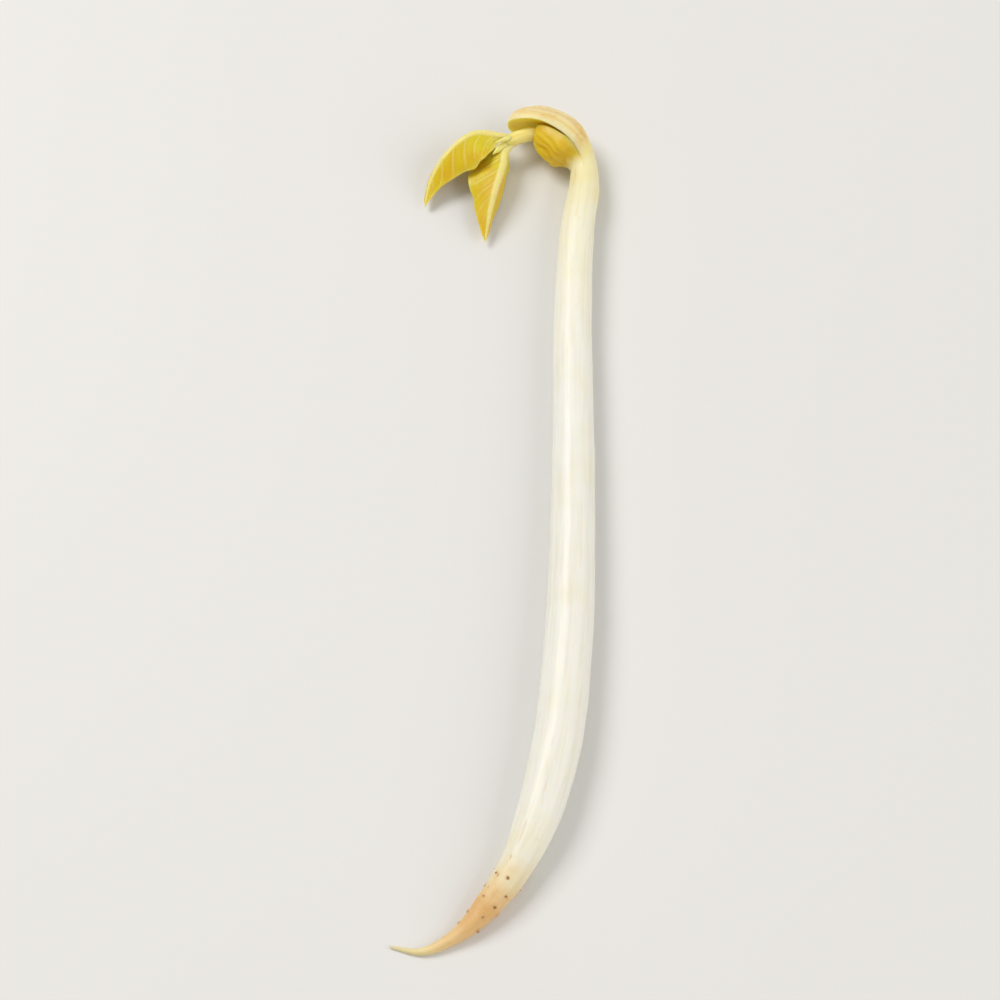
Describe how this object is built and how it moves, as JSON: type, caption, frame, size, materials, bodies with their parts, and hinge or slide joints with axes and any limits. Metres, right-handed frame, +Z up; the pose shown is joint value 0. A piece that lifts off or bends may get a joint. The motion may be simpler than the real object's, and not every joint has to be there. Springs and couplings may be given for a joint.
{
  "type": "mung bean sprout",
  "caption": "Picked mung bean sprout lying on its side: white stem with a bent neck, tan tapering root, shrivelled bean halves and folded yellow leaves.",
  "frame": {"origin": "middle of the sprout's footprint, on the surface it lies on", "axes": "+Y along the stem towards the head, +Z up from the surface, the neck and the root both bend towards -X"},
  "size_m": [0.0128, 0.0558, 0.0034],
  "materials": {
    "stem_white": "moist smooth plant skin, translucent white",
    "root_tan": "moist matt root skin, tan",
    "bean_half_tan": "shrivelled satin seed leaf, cream to golden",
    "shoot_pale_yellow": "moist smooth plant skin, pale yellow",
    "leaf_yellow": "thin satin leaf, bright yellow"
  },
  "bodies": {
    "root": {"stem": "stem_white", "tap_root": "root_tan", "cotyledon_outer": "bean_half_tan", "cotyledon_inner": "bean_half_tan", "epicotyl": "shoot_pale_yellow", "leaf_left": "leaf_yellow", "leaf_lower": "leaf_yellow"}
  },
  "joints": []
}
